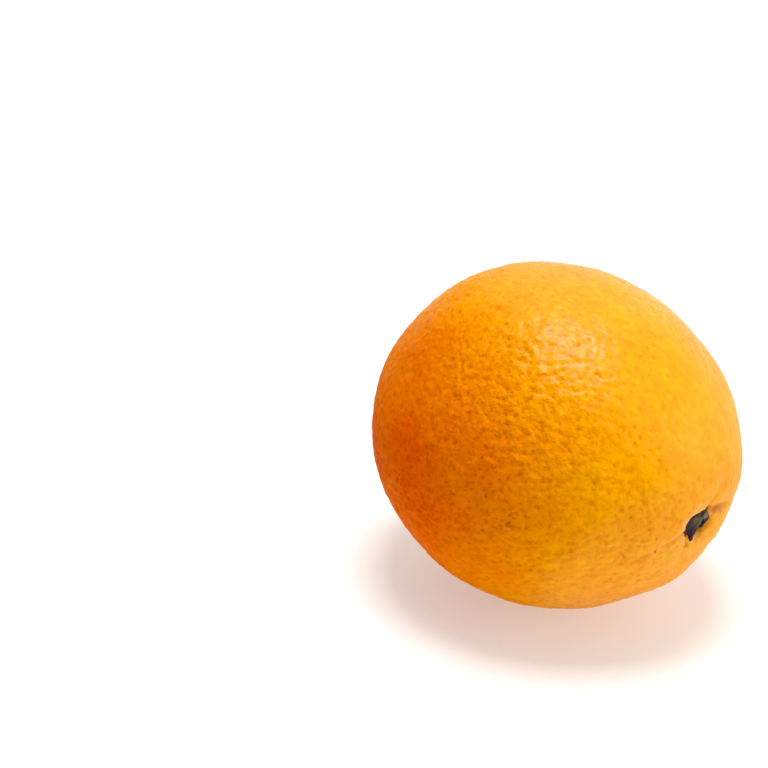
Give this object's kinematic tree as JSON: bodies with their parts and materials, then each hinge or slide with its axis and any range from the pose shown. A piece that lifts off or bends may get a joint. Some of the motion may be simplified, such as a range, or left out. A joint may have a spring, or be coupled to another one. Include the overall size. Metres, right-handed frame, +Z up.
{
  "type": "orange",
  "caption": "Whole navel orange lying on its side, with a folded navel plugged by a dried remnant at one end and a small calyx button at the other.",
  "frame": {"origin": "centre of the small flat spot that the fruit rests on", "axes": "+X along the fruit's long axis towards the navel end, +Z up from the surface"},
  "size_m": [0.0862, 0.0756, 0.075],
  "materials": {
    "peel": "waxy orange peel with fine pores, satin gloss",
    "button": "dry green-brown calyx, matt",
    "remnant": "dried dark brown plant remains, matt"
  },
  "bodies": {
    "root": {"fruit": "peel", "stem_button": "button", "navel_remnant": "remnant"}
  },
  "joints": []
}
